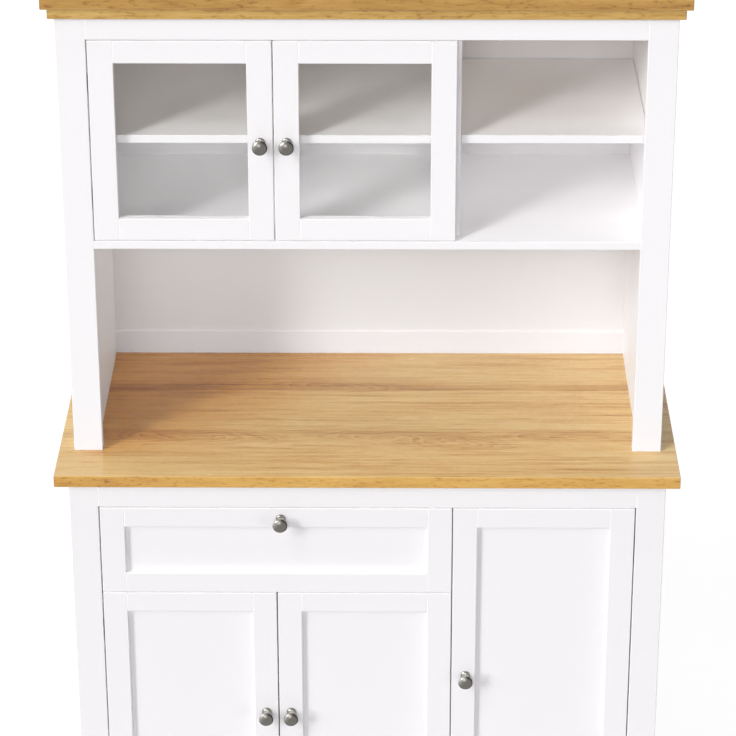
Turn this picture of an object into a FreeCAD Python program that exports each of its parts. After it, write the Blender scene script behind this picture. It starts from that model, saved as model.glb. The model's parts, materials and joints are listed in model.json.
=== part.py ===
import FreeCAD, Part
import math
import os

# Kitchen buffet cabinet with a hutch. Millimetres, +Z up, the front faces -Y.
# The origin lies on the floor under the middle of the whole object.

# Worktop and overall height
worktop_width = 1000.0
worktop_depth = 475.0
worktop_thickness = 20.0
worktop_height = 820.0
worktop_front_overhang = 21.0
worktop_side_overhang = 21.0
worktop_ease = 1.0

# Hutch and its stepped cornice
hutch_side_setback = 25.0
hutch_front_setback = 92.0
hutch_rise = 737.0
cornice_thickness = 18.0
cornice_step = 9.5
cornice_ease = 1.0

# Boards of both carcasses
front_thickness = 18.0
board_ease = 0.8
post_width = 46.0
post_return = 46.0
panel_reveal = 9.0
side_thickness = 15.0
rear_post_depth = 46.0
inner_thickness = 13.0
inner_ease = 0.5
back_thickness = 5.0
back_inset = 1.0
back_lap = 12.0
back_clearance = 0.5
base_rail_height = 46.0
hutch_rail_height = 36.0
foot_height = 85.0
bay_clear_height = 355.0
back_rail_height = 41.0
back_rail_thickness = 10.0

# Shelves and the pins that carry them
shelf_side_clearance = 1.0
shelf_rear_clearance = 2.0
base_shelf_drop = 395.0
hutch_shelf_rise = 538.0
shelf_pin_radius = 2.5
shelf_pin_in_share = 0.4
shelf_pin_out = 8.0
shelf_pin_flat = 0.8
shelf_pin_clearance = 0.1
shelf_pin_inset = 50.0
shelf_hinge_clearance = 2.0

# Doors and drawer front
base_divider_offset = 138.0
hutch_divider_offset = 139.5
front_gap = 2.0
stile_width = 39.0
panel_rail_height = 34.5
glazed_rail_height = 36.0
member_ease = 0.8
panel_thickness = 5.0
panel_back_lip = 2.0
glass_thickness = 4.0
glass_back_lip = 4.5
groove_depth = 8.0
groove_clearance = 0.5
drawer_front_height = 154.5

# Knobs
knob_length = 30.0
knob_flange_radius = 7.8
knob_flange_thickness = 2.6
knob_neck_radius = 4.2
knob_head_radius = 12.0
knob_head_thickness = 8.5
knob_rim_thickness = 2.2
knob_dome_height = 3.6
knob_screw_radius = 2.0
knob_screw_clearance = 0.2
knob_screw_depth = 10.0
knob_screw_head_radius = 4.2
knob_screw_head_thickness = 2.4
low_door_knob_drop = 226.0
tall_door_knob_drop = 310.5
glazed_door_knob_drop = 164.5
tall_door_knob_shift = 3.0
drawer_knob_shift = 7.5
drawer_knob_drop_share = 0.54

# Concealed hinges, two a door
hinge_axis_inset = 9.0
hinge_axis_depth = 5.0
hinge_end_inset = 70.0
knuckle_radius = 2.5
knuckle_height = 10.0
knuckle_gap = 0.3
arm_knuckle_height = 14.0
arm_half_width = 2.0
arm_crank_thickness = 4.0
arm_plate_thickness = 2.5
arm_plate_length = 38.0
hinge_pin_radius = 1.2
hinge_pin_clearance = 0.05
pocket_clearance = 0.8
leaf_thickness = 1.6
leaf_length = 20.0
swing_room = 4.5

# Drawer box and runners
runner_space = 12.7
runner_height = 36.0
runner_wall = 2.0
runner_clearance = 0.3
runner_foot_length = 40.0
drawer_side_thickness = 12.0
drawer_rear_clearance = 50.0
drawer_box_lift = 14.0
drawer_box_drop = 29.0
drawer_bottom_thickness = 5.0
drawer_bottom_lift = 9.0
drawer_groove = 6.0

# Planes worked out from the sizes above
whole_depth = worktop_depth + knob_length - worktop_front_overhang
rear_y = whole_depth / 2
worktop_front_y = rear_y - worktop_depth
base_front_y = worktop_front_y + worktop_front_overhang
hutch_front_y = worktop_front_y + hutch_front_setback
inner_setback = front_thickness + swing_room
back_rear_y = rear_y - back_inset
back_y = back_rear_y - back_thickness
worktop_under_z = worktop_height - worktop_thickness
base_outer_x = worktop_width / 2 - worktop_side_overhang
base_post_x = base_outer_x - post_width
base_side_x = base_post_x + panel_reveal
hutch_outer_x = worktop_width / 2 - hutch_side_setback
hutch_post_x = hutch_outer_x - post_width
hutch_side_x = hutch_post_x + panel_reveal
base_floor_z = foot_height + base_rail_height
base_open_top_z = worktop_under_z - base_rail_height
hutch_floor_under_z = worktop_height + bay_clear_height
hutch_floor_z = hutch_floor_under_z + inner_thickness
hutch_top_z = worktop_height + hutch_rise
hutch_open_top_z = hutch_top_z - hutch_rail_height
base_shelf_z = worktop_height - base_shelf_drop
hutch_shelf_z = worktop_height + hutch_shelf_rise
half_inner = inner_thickness / 2
shelf_pin_in = inner_thickness * shelf_pin_in_share
base_divider_left = base_divider_offset - half_inner
base_divider_right = base_divider_offset + half_inner
hutch_divider_left = hutch_divider_offset - half_inner
hutch_divider_right = hutch_divider_offset + half_inner

# Door edges and recesses
panel_recess = front_thickness - panel_thickness - panel_back_lip
glass_recess = front_thickness - glass_thickness - glass_back_lip
half_gap = front_gap / 2
low_doors_left = front_gap - base_post_x
low_doors_right = base_divider_offset - half_gap
low_door_width = (low_doors_right - low_doors_left - front_gap) / 2
tall_door_left = base_divider_offset + half_gap
tall_door_right = base_post_x - front_gap
base_door_bottom = base_floor_z + front_gap
base_door_top = base_open_top_z - front_gap
drawer_front_bottom = base_door_top - drawer_front_height
low_door_top = drawer_front_bottom - front_gap
glazed_doors_left = front_gap - hutch_post_x
glazed_doors_right = hutch_divider_offset - half_gap
glazed_door_width = (glazed_doors_right - glazed_doors_left - front_gap) / 2
glazed_door_bottom = hutch_floor_z + front_gap
glazed_door_top = hutch_open_top_z - front_gap

# Hinge and drawer sizes worked out from the sizes above
pocket_reach = hinge_axis_inset + knuckle_radius + pocket_clearance
pocket_front = hinge_axis_depth - knuckle_radius - pocket_clearance
hinge_height = 2 * knuckle_height + arm_knuckle_height + 2 * knuckle_gap
arm_back = inner_setback + arm_crank_thickness
drawer_left = runner_space - base_post_x
drawer_right = base_divider_left - runner_space
drawer_box_bottom = drawer_front_bottom + drawer_box_lift
drawer_box_top = base_door_top - drawer_box_drop
drawer_box_front = base_front_y + front_thickness
drawer_box_rear = back_y - drawer_rear_clearance
runner_middle_z = (drawer_box_bottom + drawer_box_top) / 2

up = FreeCAD.Vector(0, 0, 1)
rearward = FreeCAD.Vector(0, 1, 0)
sides = {"left": -1, "right": 1}


def box(xs, ys, zs):
    low = [min(xs), min(ys), min(zs)]
    high = [max(xs), max(ys), max(zs)]
    return Part.makeBox(high[0] - low[0], high[1] - low[1], high[2] - low[2], FreeCAD.Vector(*low))


def eased_box(xs, ys, zs, ease):
    shape = box(xs, ys, zs)
    return shape.makeChamfer(ease, shape.Edges)


def joined(shapes):
    return shapes[0].fuse(shapes[1:]).removeSplitter()


def upright(radius, x, y, z_low, z_high):
    return Part.makeCylinder(radius, z_high - z_low, FreeCAD.Vector(x, y, z_low), up)


def corner_post(side, outer_x, front_y, z_low, z_high):
    # An L-section post: a broad front board with a return that backs the side panel.
    inner_x = outer_x - post_width
    return_x = inner_x + panel_reveal + side_thickness
    ys = (front_y, front_y + post_return)
    whole = eased_box((side * inner_x, side * outer_x), ys, (z_low, z_high), board_ease)
    notch_xs = (side * inner_x, side * return_x)
    notch_ys = (front_y + front_thickness, front_y + post_return)
    return whole.cut(box(notch_xs, notch_ys, (z_low, z_high)))


def rear_post(side, side_x, outer_x, z_low, z_high, panel_z_low):
    ys = (rear_y - rear_post_depth, rear_y)
    whole = eased_box((side * side_x, side * outer_x), ys, (z_low, z_high), board_ease)
    rebate_xs = (side * side_x, side * (side_x + back_lap))
    return whole.cut(box(rebate_xs, (back_y, rear_y), (panel_z_low, z_high)))


def side_panel(side, side_x, front_y, z_low, z_high, pin_holes):
    xs = (side * side_x, side * (side_x + side_thickness))
    ys = (front_y + front_thickness, rear_y - rear_post_depth)
    return box(xs, ys, (z_low, z_high)).cut(pin_holes)


def back_panel(side_x, z_low, z_high):
    reach = side_x + back_lap - back_clearance
    return box((-reach, reach), (back_y, back_rear_y), (z_low, z_high))


def front_rail(post_x, front_y, z_low, z_high):
    ys = (front_y, front_y + front_thickness)
    return eased_box((-post_x, post_x), ys, (z_low, z_high), board_ease)


def shelf(left_x, right_x, front_y, top_z):
    xs = (left_x + shelf_side_clearance, right_x - shelf_side_clearance)
    ys = (front_y + inner_setback, back_y - shelf_rear_clearance)
    return eased_box(xs, ys, (top_z - inner_thickness, top_z), inner_ease)


def shelf_pin_places(left_x, right_x, front_y, top_z):
    # Each place is the wall's face, the way into the bay, and the pin's Y and Z.
    front_pin_y = front_y + inner_setback + shelf_pin_inset
    rear_pin_y = rear_y - rear_post_depth - shelf_pin_inset
    pin_z = top_z - inner_thickness - shelf_pin_radius + shelf_pin_flat
    return [(x, way, y, pin_z) for x, way in ((left_x, 1), (right_x, -1)) for y in (front_pin_y, rear_pin_y)]


def shelf_pin(x, way, y, z):
    start = FreeCAD.Vector(x - way * shelf_pin_in, y, z)
    pin = Part.makeCylinder(shelf_pin_radius, shelf_pin_in + shelf_pin_out, start, FreeCAD.Vector(way, 0, 0))
    xs = (x, x + way * shelf_pin_out)
    ys = (y - shelf_pin_radius, y + shelf_pin_radius)
    return pin.cut(box(xs, ys, (z + shelf_pin_radius - shelf_pin_flat, z + shelf_pin_radius)))


def shelf_pin_hole(x, way, y, z):
    radius = shelf_pin_radius + shelf_pin_clearance
    depth = shelf_pin_in + shelf_pin_clearance
    return Part.makeCylinder(radius, depth, FreeCAD.Vector(x, y, z), FreeCAD.Vector(-way, 0, 0))


def framed_front(left_x, right_x, front_y, z_low, z_high, rail_height, recess, infill_thickness):
    # Two stiles and two rails, grooved for the panel or glass that they hold.
    ys = (front_y, front_y + front_thickness)
    inner_left = left_x + stile_width
    inner_right = right_x - stile_width
    stile_spans = ((left_x, inner_left), (inner_right, right_x))
    rail_spans = ((z_low, z_low + rail_height), (z_high - rail_height, z_high))
    members = [eased_box(xs, ys, (z_low, z_high), member_ease) for xs in stile_spans]
    members += [eased_box((inner_left, inner_right), ys, zs, member_ease) for zs in rail_spans]
    infill_ys = (front_y + recess, front_y + recess + infill_thickness)
    groove_xs = (inner_left - groove_depth, inner_right + groove_depth)
    groove_zs = (z_low + rail_height - groove_depth, z_high - rail_height + groove_depth)
    infill_xs = (groove_xs[0] + groove_clearance, groove_xs[1] - groove_clearance)
    infill_zs = (groove_zs[0] + groove_clearance, groove_zs[1] - groove_clearance)
    groove = box(groove_xs, infill_ys, groove_zs)
    return [member.cut(groove) for member in members], box(infill_xs, infill_ys, infill_zs)


def knob_profile():
    # Half outline of the knob, as distance from its axis and distance out from the door.
    rim_out = knob_length - knob_dome_height
    rim_in = rim_out - knob_rim_thickness
    head_in = knob_length - knob_head_thickness
    neck_end = (head_in + knob_flange_thickness) / 2
    points = [FreeCAD.Vector(radius, -out, 0) for radius, out in (
        (0, 0), (knob_flange_radius, 0), (knob_flange_radius, knob_flange_thickness),
        (knob_neck_radius, neck_end), (knob_flange_radius, head_in), (knob_head_radius, rim_in),
        (knob_head_radius, rim_out), (0, knob_length))]
    half_radius = knob_head_radius / 2
    dome_radius = (knob_head_radius ** 2 + knob_dome_height ** 2) / (2 * knob_dome_height)
    half_out = knob_length - dome_radius + math.sqrt(dome_radius ** 2 - half_radius ** 2)
    dome_middle = FreeCAD.Vector(half_radius, -half_out, 0)
    edges = [Part.LineSegment(points[i], points[i + 1]).toShape() for i in (0, 1)]
    edges.append(Part.Arc(points[2], points[3], points[4]).toShape())
    edges += [Part.LineSegment(points[i], points[i + 1]).toShape() for i in (4, 5)]
    edges.append(Part.Arc(points[6], dome_middle, points[7]).toShape())
    edges.append(Part.LineSegment(points[7], points[0]).toShape())
    return Part.Face(Part.Wire(edges))


def knob_and_screw(x, front_y, z, backing):
    # The knob stands on the front, and its screw comes through from the back.
    place = FreeCAD.Vector(x, front_y, z)
    knob = knob_profile().revolve(FreeCAD.Vector(), rearward, 360)
    knob.translate(place)
    hole_radius = knob_screw_radius + knob_screw_clearance
    hole_end = knob_screw_depth + knob_screw_clearance
    socket = Part.makeCylinder(hole_radius, hole_end, place - rearward * hole_end, rearward)
    shank_start = place - rearward * knob_screw_depth
    shank = Part.makeCylinder(knob_screw_radius, knob_screw_depth + backing, shank_start, rearward)
    head_place = place + rearward * backing
    head = Part.makeCylinder(knob_screw_head_radius, knob_screw_head_thickness, head_place, rearward)
    through = Part.makeCylinder(hole_radius, backing, place, rearward)
    return [knob.cut(socket), joined([shank, head])], through


def hinge_heights(z_low, z_high):
    return (z_low + hinge_end_inset, z_high - hinge_end_inset)


def hinge_pocket(edge_x, way, front_y, middle_z):
    half = hinge_height / 2 + knuckle_gap
    xs = (edge_x, edge_x + way * pocket_reach)
    return box(xs, (front_y + pocket_front, front_y + front_thickness), (middle_z - half, middle_z + half))


def hinge_leaf(edge_x, way, front_y, middle_z):
    # Two knuckles on the pin, webs out of the pocket and a flange on the back of the stile.
    axis_x = edge_x + way * hinge_axis_inset
    axis_y = front_y + hinge_axis_depth
    rear = front_y + front_thickness
    wall_x = edge_x + way * pocket_reach
    half = hinge_height / 2
    flange_xs = (wall_x, wall_x + way * leaf_length)
    pieces = [box(flange_xs, (rear, rear + leaf_thickness), (middle_z - half, middle_z + half))]
    low_zs = (middle_z - half, middle_z - half + knuckle_height)
    high_zs = (middle_z + half - knuckle_height, middle_z + half)
    for zs in (low_zs, high_zs):
        pieces.append(upright(knuckle_radius, axis_x, axis_y, *zs))
        pieces.append(box((axis_x, wall_x), (axis_y, rear + leaf_thickness), zs))
    bore_radius = hinge_pin_radius + hinge_pin_clearance
    return joined(pieces).cut(upright(bore_radius, axis_x, axis_y, middle_z - half, middle_z + half))


def hinge_arm(edge_x, way, front_y, middle_z, seat_x):
    # The middle knuckle, a bar straight back out of the pocket and a crank to a plate on the carcass.
    axis_x = edge_x + way * hinge_axis_inset
    axis_y = front_y + hinge_axis_depth
    half = arm_knuckle_height / 2
    zs = (middle_z - half, middle_z + half)
    crank_ys = (front_y + inner_setback, front_y + arm_back)
    plate_half = hinge_height / 2
    plate_ys = (front_y + inner_setback, front_y + inner_setback + arm_plate_length)
    plate_zs = (middle_z - plate_half, middle_z + plate_half)
    bar_xs = (axis_x - arm_half_width, axis_x + arm_half_width)
    pieces = [
        upright(knuckle_radius, axis_x, axis_y, *zs),
        box(bar_xs, (axis_y, crank_ys[1]), zs),
        box((seat_x, axis_x + way * arm_half_width), crank_ys, zs),
        box((seat_x, seat_x + way * arm_plate_thickness), plate_ys, plate_zs),
    ]
    return joined(pieces).cut(hinge_pin(edge_x, way, front_y, middle_z))


def hinge_pin(edge_x, way, front_y, middle_z):
    axis_x = edge_x + way * hinge_axis_inset
    half = hinge_height / 2
    return upright(hinge_pin_radius, axis_x, front_y + hinge_axis_depth, middle_z - half, middle_z + half)


def hinge_room(edge_x, way, front_y, middle_z, seat_x):
    # What a shelf at the height of a hinge is notched by.
    half = hinge_height / 2 + shelf_hinge_clearance
    far_x = edge_x + way * (hinge_axis_inset + arm_half_width + shelf_hinge_clearance)
    rear = front_y + inner_setback + arm_plate_length + shelf_hinge_clearance
    return box((seat_x, far_x), (front_y + front_thickness, rear), (middle_z - half, middle_z + half))


# Each door: its edges, the side it is hinged on, the carcass face that carries the hinge, its knob's drop
# from the top and the knob's shift from the middle of the stile.
low_middle_x = low_doors_left + low_door_width
glazed_middle_x = glazed_doors_left + glazed_door_width
base_doors_z = (base_door_bottom, low_door_top)
tall_door_z = (base_door_bottom, base_door_top)
glazed_doors_z = (glazed_door_bottom, glazed_door_top)
doors = {
    "left_glazed_door": dict(xs=(glazed_doors_left, glazed_middle_x), zs=glazed_doors_z,
                             front=hutch_front_y, hinged="left", seat=-hutch_side_x,
                             drop=glazed_door_knob_drop, shift=0, glazed=True),
    "right_glazed_door": dict(xs=(glazed_middle_x + front_gap, glazed_doors_right), zs=glazed_doors_z,
                              front=hutch_front_y, hinged="right", seat=hutch_divider_left,
                              drop=glazed_door_knob_drop, shift=0, glazed=True),
    "left_base_door": dict(xs=(low_doors_left, low_middle_x), zs=base_doors_z, front=base_front_y,
                           hinged="left", seat=-base_side_x, drop=low_door_knob_drop, shift=0, glazed=False),
    "middle_base_door": dict(xs=(low_middle_x + front_gap, low_doors_right), zs=base_doors_z,
                             front=base_front_y, hinged="right", seat=base_divider_left,
                             drop=low_door_knob_drop, shift=0, glazed=False),
    "right_base_door": dict(xs=(tall_door_left, tall_door_right), zs=tall_door_z, front=base_front_y,
                            hinged="right", seat=base_side_x, drop=tall_door_knob_drop,
                            shift=tall_door_knob_shift, glazed=False),
}


def hinge_side(door):
    # The door's hinged edge and the way from it to the other edge.
    way = -sides[door["hinged"]]
    return (door["xs"][0] if way > 0 else door["xs"][1]), way


def hinge_rooms():
    rooms = []
    for door in doors.values():
        edge_x, way = hinge_side(door)
        rooms += [hinge_room(edge_x, way, door["front"], z, door["seat"]) for z in hinge_heights(*door["zs"])]
    return rooms


def door_nodes(name, door):
    left_x, right_x = door["xs"]
    z_low, z_high = door["zs"]
    front_y = door["front"]
    rail_height = glazed_rail_height if door["glazed"] else panel_rail_height
    recess = glass_recess if door["glazed"] else panel_recess
    thickness = glass_thickness if door["glazed"] else panel_thickness
    members, infill = framed_front(left_x, right_x, front_y, z_low, z_high, rail_height, recess, thickness)
    edge_x, way = hinge_side(door)
    knob_inset = stile_width / 2 + door["shift"]
    knob_x = right_x - knob_inset if way > 0 else left_x + knob_inset
    knob, through = knob_and_screw(knob_x, front_y, z_high - door["drop"], front_thickness)
    heights = hinge_heights(z_low, z_high)
    cuts = [hinge_pocket(edge_x, way, front_y, z) for z in heights] + [through]
    infill_name = "_glass" if door["glazed"] else "_panel"
    nodes = {
        name + "_frame": [member.cut(cuts) for member in members],
        name + infill_name: [infill],
        name + "_knob": knob,
        name + "_hinge_leaves": [hinge_leaf(edge_x, way, front_y, z) for z in heights],
    }
    arms = [hinge_arm(edge_x, way, front_y, z, door["seat"]) for z in heights]
    pins = [hinge_pin(edge_x, way, front_y, z) for z in heights]
    return nodes, arms, pins


def runner_channel(wall_x, way, seat_x):
    # A channel open towards the drawer, with feet to its seat where a post stands proud of the wall.
    half = runner_height / 2
    zs = (runner_middle_z - half, runner_middle_z + half)
    ys = (drawer_box_front + swing_room, drawer_box_rear)
    reach = runner_space - runner_wall - runner_clearance
    whole = box((wall_x, wall_x + way * reach), ys, zs)
    hollow_xs = (wall_x + way * runner_wall, wall_x + way * reach)
    channel = whole.cut(box(hollow_xs, ys, (zs[0] + runner_wall, zs[1] - runner_wall)))
    if seat_x == wall_x:
        return channel
    foot_spans = ((ys[0], ys[0] + runner_foot_length), (ys[1] - runner_foot_length, ys[1]))
    return joined([channel] + [box((seat_x, wall_x), span, zs) for span in foot_spans])


def runner_member(wall_x, way):
    # A smaller channel on the drawer side that slides inside the carcass channel.
    half = runner_height / 2 - runner_wall - runner_clearance
    zs = (runner_middle_z - half, runner_middle_z + half)
    ys = (drawer_box_front + swing_room, drawer_box_rear)
    near_x = wall_x + way * (runner_wall + runner_clearance)
    far_x = wall_x + way * runner_space
    whole = box((near_x, far_x), ys, zs)
    hollow_xs = (near_x, far_x - way * runner_wall)
    return whole.cut(box(hollow_xs, ys, (zs[0] + runner_wall, zs[1] - runner_wall)))


def drawer_nodes():
    members, infill = framed_front(low_doors_left, low_doors_right, base_front_y, drawer_front_bottom,
                                   base_door_top, panel_rail_height, panel_recess, panel_thickness)
    knob_x = (low_doors_left + low_doors_right) / 2 + drawer_knob_shift
    knob_z = base_door_top - panel_rail_height * drawer_knob_drop_share
    knob, through = knob_and_screw(knob_x, base_front_y, knob_z, front_thickness)
    zs = (drawer_box_bottom, drawer_box_top)
    ys = (drawer_box_front, drawer_box_rear)
    inner_left = drawer_left + drawer_side_thickness
    inner_right = drawer_right - drawer_side_thickness
    bottom_z = drawer_box_bottom + drawer_bottom_lift
    bottom_zs = (bottom_z, bottom_z + drawer_bottom_thickness)
    bottom_xs = (inner_left - drawer_groove, inner_right + drawer_groove)
    bottom_ys = (drawer_box_front, drawer_box_rear - drawer_side_thickness + drawer_groove)
    bottom = box(bottom_xs, bottom_ys, bottom_zs)
    side_boards = [box(xs, ys, zs).cut(bottom)
                   for xs in ((drawer_left, inner_left), (inner_right, drawer_right))]
    back_ys = (drawer_box_rear - drawer_side_thickness, drawer_box_rear)
    return {
        "drawer_front_frame": [member.cut(through) for member in members],
        "drawer_front_panel": [infill],
        "drawer_knob": knob,
        "drawer_sides": side_boards,
        "drawer_back": [box((inner_left, inner_right), back_ys, zs).cut(bottom)],
        "drawer_bottom": [bottom],
        "drawer_runner_members": [runner_member(-base_post_x, 1), runner_member(base_divider_left, -1)],
    }


def base_nodes(pin_holes, notches):
    rail_zs = {
        "base_top_rail": (base_open_top_z, worktop_under_z),
        "base_bottom_rail": (foot_height, base_floor_z),
    }
    floor_under_z = base_floor_z - inner_thickness
    floor_ys = (base_front_y + front_thickness, back_y)
    nodes = {name: [front_rail(base_post_x, base_front_y, *zs)] for name, zs in rail_zs.items()}
    for name, side in sides.items():
        post = corner_post(side, base_outer_x, base_front_y, 0, worktop_under_z)
        rear = rear_post(side, base_side_x, base_outer_x, 0, worktop_under_z, floor_under_z)
        panel = side_panel(side, base_side_x, base_front_y, foot_height, worktop_under_z, pin_holes)
        nodes["base_" + name + "_front_post"] = [post]
        nodes["base_" + name + "_rear_post"] = [rear]
        nodes["base_" + name + "_side"] = [panel]
    nodes["base_floor"] = [box((-base_side_x, base_side_x), floor_ys, (floor_under_z, base_floor_z))]
    divider_ys = (base_front_y + inner_setback, back_y)
    divider = box((base_divider_left, base_divider_right), divider_ys, (base_floor_z, worktop_under_z))
    nodes["base_divider"] = [divider.cut(pin_holes)]
    nodes["base_back"] = [back_panel(base_side_x, floor_under_z, worktop_under_z)]
    left_shelf = shelf(-base_side_x, base_divider_left, base_front_y, base_shelf_z)
    right_shelf = shelf(base_divider_right, base_side_x, base_front_y, base_shelf_z)
    nodes["base_left_shelf"] = [left_shelf.cut(notches)]
    nodes["base_right_shelf"] = [right_shelf.cut(notches)]
    half_width = worktop_width / 2
    nodes["worktop"] = [eased_box((-half_width, half_width), (worktop_front_y, rear_y),
                                  (worktop_under_z, worktop_height), worktop_ease)]
    return nodes


def hutch_nodes(pin_holes, notches):
    back_rail_top_z = worktop_height + back_rail_height
    nodes = {"hutch_top_rail": [front_rail(hutch_post_x, hutch_front_y, hutch_open_top_z, hutch_top_z)]}
    for name, side in sides.items():
        post = corner_post(side, hutch_outer_x, hutch_front_y, worktop_height, hutch_top_z)
        rear = rear_post(side, hutch_side_x, hutch_outer_x, worktop_height, hutch_top_z, back_rail_top_z)
        panel = side_panel(side, hutch_side_x, hutch_front_y, worktop_height, hutch_top_z, pin_holes)
        nodes["hutch_" + name + "_front_post"] = [post]
        nodes["hutch_" + name + "_rear_post"] = [rear]
        nodes["hutch_" + name + "_side"] = [panel]
    floor_zs = (hutch_floor_under_z, hutch_floor_z)
    front_strip_ys = (hutch_front_y, hutch_front_y + front_thickness)
    front_strip = eased_box((-hutch_post_x, hutch_post_x), front_strip_ys, floor_zs, inner_ease)
    main_floor = box((-hutch_side_x, hutch_side_x), (front_strip_ys[1] - inner_ease, back_y), floor_zs)
    post_clear = [box((side * hutch_post_x, side * hutch_side_x), front_strip_ys, floor_zs)
                  for side in sides.values()]
    nodes["hutch_floor"] = [joined([front_strip, main_floor]).cut(post_clear)]
    divider_ys = (hutch_front_y + inner_setback, back_y)
    divider = box((hutch_divider_left, hutch_divider_right), divider_ys, (hutch_floor_z, hutch_top_z))
    nodes["hutch_divider"] = [divider.cut(pin_holes)]
    glazed_shelf = shelf(-hutch_side_x, hutch_divider_left, hutch_front_y, hutch_shelf_z)
    nodes["hutch_glazed_shelf"] = [glazed_shelf.cut(notches)]
    nodes["hutch_open_shelf"] = [shelf(hutch_divider_right, hutch_side_x, hutch_front_y, hutch_shelf_z)]
    nodes["hutch_back"] = [back_panel(hutch_side_x, back_rail_top_z, hutch_top_z)]
    back_rail_ys = (rear_y - back_rail_thickness, rear_y)
    nodes["hutch_back_rail"] = [eased_box((-hutch_side_x, hutch_side_x), back_rail_ys,
                                          (worktop_height, back_rail_top_z), inner_ease)]
    for step, name in enumerate(("cornice_lower", "cornice_upper"), start=1):
        reach = hutch_outer_x + step * cornice_step
        ys = (hutch_front_y - step * cornice_step, rear_y)
        z_low = hutch_top_z + (step - 1) * cornice_thickness
        nodes[name] = [eased_box((-reach, reach), ys, (z_low, z_low + cornice_thickness), cornice_ease)]
    return nodes


def all_nodes():
    places = shelf_pin_places(-base_side_x, base_divider_left, base_front_y, base_shelf_z)
    places += shelf_pin_places(base_divider_right, base_side_x, base_front_y, base_shelf_z)
    places += shelf_pin_places(-hutch_side_x, hutch_divider_left, hutch_front_y, hutch_shelf_z)
    places += shelf_pin_places(hutch_divider_right, hutch_side_x, hutch_front_y, hutch_shelf_z)
    pin_holes = [shelf_pin_hole(*place) for place in places]
    notches = hinge_rooms()
    nodes = base_nodes(pin_holes, notches)
    nodes.update(hutch_nodes(pin_holes, notches))
    nodes["shelf_pins"] = [shelf_pin(*place) for place in places]
    nodes["runner_channels"] = [runner_channel(-base_post_x, 1, -base_side_x),
                                runner_channel(base_divider_left, -1, base_divider_left)]
    nodes["hinge_arms"] = []
    nodes["hinge_pins"] = []
    for name, door in doors.items():
        own, arms, pins = door_nodes(name, door)
        nodes.update(own)
        nodes["hinge_arms"] += arms
        nodes["hinge_pins"] += pins
    nodes.update(drawer_nodes())
    return nodes


os.makedirs("parts", exist_ok=True)
for node, shapes in all_nodes().items():
    solids = [solid for shape in shapes for solid in shape.Solids]
    whole = solids[0] if len(solids) == 1 else Part.makeCompound(solids)
    whole.exportStep("parts/" + node + ".step")
    print(node, len(solids), "solids", "valid" if whole.isValid() else "NOT VALID")
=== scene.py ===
import json
import math
import bmesh
import bpy
from mathutils import Matrix, Vector


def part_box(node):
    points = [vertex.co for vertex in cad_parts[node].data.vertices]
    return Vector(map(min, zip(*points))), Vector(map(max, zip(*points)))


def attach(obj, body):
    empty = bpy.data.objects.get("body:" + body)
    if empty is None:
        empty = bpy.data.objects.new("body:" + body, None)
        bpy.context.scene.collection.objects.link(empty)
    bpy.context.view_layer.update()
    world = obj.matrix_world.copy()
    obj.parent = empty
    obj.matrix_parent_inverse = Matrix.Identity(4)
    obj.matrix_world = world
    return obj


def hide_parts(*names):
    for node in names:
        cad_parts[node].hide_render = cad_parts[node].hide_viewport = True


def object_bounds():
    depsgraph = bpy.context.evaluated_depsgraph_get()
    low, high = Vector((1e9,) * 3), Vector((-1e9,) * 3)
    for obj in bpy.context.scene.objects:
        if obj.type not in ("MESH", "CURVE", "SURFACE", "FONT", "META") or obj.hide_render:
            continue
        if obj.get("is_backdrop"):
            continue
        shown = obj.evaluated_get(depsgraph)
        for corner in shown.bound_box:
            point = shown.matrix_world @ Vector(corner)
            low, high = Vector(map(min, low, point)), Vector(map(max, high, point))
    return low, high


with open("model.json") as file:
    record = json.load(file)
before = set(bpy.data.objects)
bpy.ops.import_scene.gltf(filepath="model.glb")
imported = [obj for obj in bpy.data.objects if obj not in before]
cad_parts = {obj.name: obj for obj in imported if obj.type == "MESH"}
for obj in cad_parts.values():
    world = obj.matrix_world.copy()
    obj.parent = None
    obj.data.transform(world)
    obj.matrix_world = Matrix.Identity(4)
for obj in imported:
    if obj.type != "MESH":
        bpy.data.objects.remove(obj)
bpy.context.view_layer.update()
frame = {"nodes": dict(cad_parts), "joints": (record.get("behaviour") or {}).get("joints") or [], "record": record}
cadNodes = frame["nodes"]
scene = bpy.context.scene
scene.view_settings.view_transform = "Standard"
scene.cycles.diffuse_bounces = 12  # light reaches deep into white bays


# Small helpers for node trees

def feed(tree, socket, value):
    if isinstance(value, bpy.types.NodeSocket):
        tree.links.new(value, socket)
    else:
        socket.default_value = value


def put(tree, kind, inputs=None, **settings):
    node = tree.nodes.new(kind)
    for name, value in settings.items():
        setattr(node, name, value)
    for key, value in (inputs or {}).items():
        feed(tree, node.inputs[key], value)
    return node


def calc(tree, operation, first, second=0.0, third=0.0, clamp=False):
    values = {0: first, 1: second, 2: third}
    return put(tree, "ShaderNodeMath", values, operation=operation, use_clamp=clamp).outputs[0]


def remap(tree, value, fromLow, fromHigh, toLow=0.0, toHigh=1.0, curve="LINEAR"):
    values = {"Value": value, "From Min": fromLow, "From Max": fromHigh, "To Min": toLow, "To Max": toHigh}
    return put(tree, "ShaderNodeMapRange", values, interpolation_type=curve).outputs[0]


def stretch(tree, place, factors):
    return put(tree, "ShaderNodeVectorMath", {0: place, 1: factors}, operation="MULTIPLY").outputs[0]


def noise(tree, place, factors, detail=2.0, roughness=0.5):
    stretched = stretch(tree, place, factors)
    values = {"Vector": stretched, "Scale": 1.0, "Detail": detail, "Roughness": roughness}
    return put(tree, "ShaderNodeTexNoise", values).outputs[0]


def mixColour(tree, share, first, second):
    values = {0: share, 6: first, 7: second}
    return put(tree, "ShaderNodeMix", values, data_type="RGBA").outputs[2]


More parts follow.
